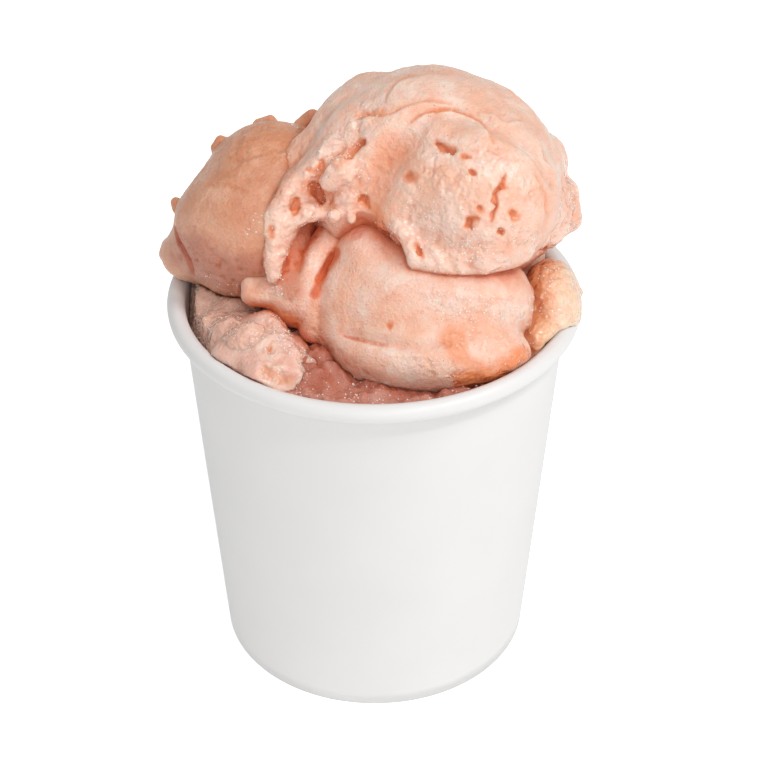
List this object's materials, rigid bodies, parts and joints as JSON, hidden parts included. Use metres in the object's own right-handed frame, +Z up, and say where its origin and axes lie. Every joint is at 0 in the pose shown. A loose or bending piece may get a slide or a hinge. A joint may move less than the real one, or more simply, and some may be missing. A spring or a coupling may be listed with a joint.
{
  "type": "sorbet cup",
  "caption": "Tapered paper tub with a rolled rim and a recessed bottom, packed with sorbet and heaped with rounded, folded scoops above the rim.",
  "frame": {"origin": "centre of the circle that the cup stands on, on the cup's axis", "axes": "+Z up along the cup's axis; -Y towards the front, where the rolled scoop lies against the rim; +X to the right as seen from the front"},
  "size_m": [0.0988, 0.0978, 0.1488],
  "materials": {
    "board": "white coated paper board, satin",
    "sorbet": "frozen fruit sorbet, moist, finely granular, translucent",
    "sorbet_melting": "half-melted sorbet, wet and icy"
  },
  "bodies": {
    "root": {"cup_wall": "board", "cup_base": "board", "sorbet_fill": "sorbet", "scoop_left": "sorbet", "scoop_top": "sorbet", "scoop_front": "sorbet", "lump_front_left": "sorbet", "lump_right": "sorbet_melting"}
  },
  "joints": []
}
